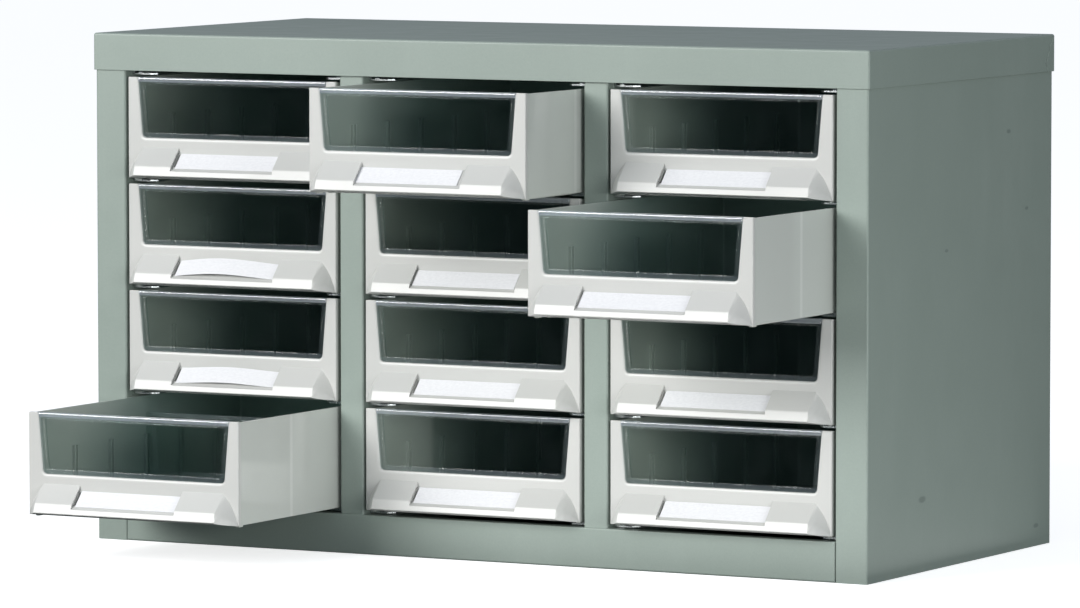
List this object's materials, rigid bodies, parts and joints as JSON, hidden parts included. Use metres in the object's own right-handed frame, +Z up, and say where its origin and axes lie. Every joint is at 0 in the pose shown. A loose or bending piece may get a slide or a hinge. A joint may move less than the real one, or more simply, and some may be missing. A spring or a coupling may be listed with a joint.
{
  "type": "parts bin cabinet",
  "caption": "Sheet-steel small-parts cabinet with columns of sliding moulded drawers, each with a clear front window, a sloping finger pull and a label card.",
  "frame": {"origin": "centre of the case's footprint, on the surface it stands on", "axes": "+X to the right along the cabinet's width, +Y from the drawer fronts to the back, +Z up"},
  "size_m": [0.586, 0.4254, 0.3454],
  "materials": {
    "case_paint": "satin grey-green enamel with a fine orange peel",
    "runner_steel": "zinc plated",
    "drawer_plastic": "light grey moulded plastic, semi-matt",
    "clear_plastic": "clear moulded polystyrene",
    "label_card": "uncoated white card, blank"
  },
  "bodies": {
    "cabinet": {"top_cover": "case_paint", "left_side_panel": "case_paint", "right_side_panel": "case_paint", "bottom_panel": "case_paint", "back_panel": "case_paint", "left_liner": "case_paint", "right_liner": "case_paint", "left_partition": "case_paint", "right_partition": "case_paint", "runners_left_column": "runner_steel", "runners_middle_column": "runner_steel", "runners_right_column": "runner_steel"},
    "drawer_row1_left": {"tray_row1_left": "drawer_plastic", "window_row1_left": "clear_plastic", "label_row1_left": "label_card"},
    "drawer_row1_middle": {"tray_row1_middle": "drawer_plastic", "window_row1_middle": "clear_plastic", "label_row1_middle": "label_card"},
    "drawer_row1_right": {"tray_row1_right": "drawer_plastic", "window_row1_right": "clear_plastic", "label_row1_right": "label_card"},
    "drawer_row2_left": {"tray_row2_left": "drawer_plastic", "window_row2_left": "clear_plastic", "label_row2_left": "label_card"},
    "drawer_row2_middle": {"tray_row2_middle": "drawer_plastic", "window_row2_middle": "clear_plastic", "label_row2_middle": "label_card"},
    "drawer_row2_right": {"tray_row2_right": "drawer_plastic", "window_row2_right": "clear_plastic", "label_row2_right": "label_card"},
    "drawer_row3_left": {"tray_row3_left": "drawer_plastic", "window_row3_left": "clear_plastic", "label_row3_left": "label_card"},
    "drawer_row3_middle": {"tray_row3_middle": "drawer_plastic", "window_row3_middle": "clear_plastic", "label_row3_middle": "label_card"},
    "drawer_row3_right": {"tray_row3_right": "drawer_plastic", "window_row3_right": "clear_plastic", "label_row3_right": "label_card"},
    "drawer_row4_left": {"tray_row4_left": "drawer_plastic", "window_row4_left": "clear_plastic", "label_row4_left": "label_card", "divider_row4_left": "clear_plastic"},
    "drawer_row4_middle": {"tray_row4_middle": "drawer_plastic", "window_row4_middle": "clear_plastic", "label_row4_middle": "label_card"},
    "drawer_row4_right": {"tray_row4_right": "drawer_plastic", "window_row4_right": "clear_plastic", "label_row4_right": "label_card"}
  },
  "joints": [
    {"name": "drawer_row1_left_slide", "type": "slide", "parent": "cabinet", "child": "drawer_row1_left", "axis": [0, -1, 0], "range_m": [0, 0.202]},
    {"name": "drawer_row1_middle_slide", "type": "slide", "parent": "cabinet", "child": "drawer_row1_middle", "axis": [0, -1, 0], "range_m": [-0.074, 0.128]},
    {"name": "drawer_row1_right_slide", "type": "slide", "parent": "cabinet", "child": "drawer_row1_right", "axis": [0, -1, 0], "range_m": [0, 0.202]},
    {"name": "drawer_row2_left_slide", "type": "slide", "parent": "cabinet", "child": "drawer_row2_left", "axis": [0, -1, 0], "range_m": [0, 0.202]},
    {"name": "drawer_row2_middle_slide", "type": "slide", "parent": "cabinet", "child": "drawer_row2_middle", "axis": [0, -1, 0], "range_m": [0, 0.202]},
    {"name": "drawer_row2_right_slide", "type": "slide", "parent": "cabinet", "child": "drawer_row2_right", "axis": [0, -1, 0], "range_m": [-0.113, 0.089]},
    {"name": "drawer_row3_left_slide", "type": "slide", "parent": "cabinet", "child": "drawer_row3_left", "axis": [0, -1, 0], "range_m": [0, 0.202]},
    {"name": "drawer_row3_middle_slide", "type": "slide", "parent": "cabinet", "child": "drawer_row3_middle", "axis": [0, -1, 0], "range_m": [0, 0.202]},
    {"name": "drawer_row3_right_slide", "type": "slide", "parent": "cabinet", "child": "drawer_row3_right", "axis": [0, -1, 0], "range_m": [0, 0.202]},
    {"name": "drawer_row4_left_slide", "type": "slide", "parent": "cabinet", "child": "drawer_row4_left", "axis": [0, -1, 0], "range_m": [-0.128, 0.074]},
    {"name": "drawer_row4_middle_slide", "type": "slide", "parent": "cabinet", "child": "drawer_row4_middle", "axis": [0, -1, 0], "range_m": [0, 0.202]},
    {"name": "drawer_row4_right_slide", "type": "slide", "parent": "cabinet", "child": "drawer_row4_right", "axis": [0, -1, 0], "range_m": [0, 0.202]}
  ]
}
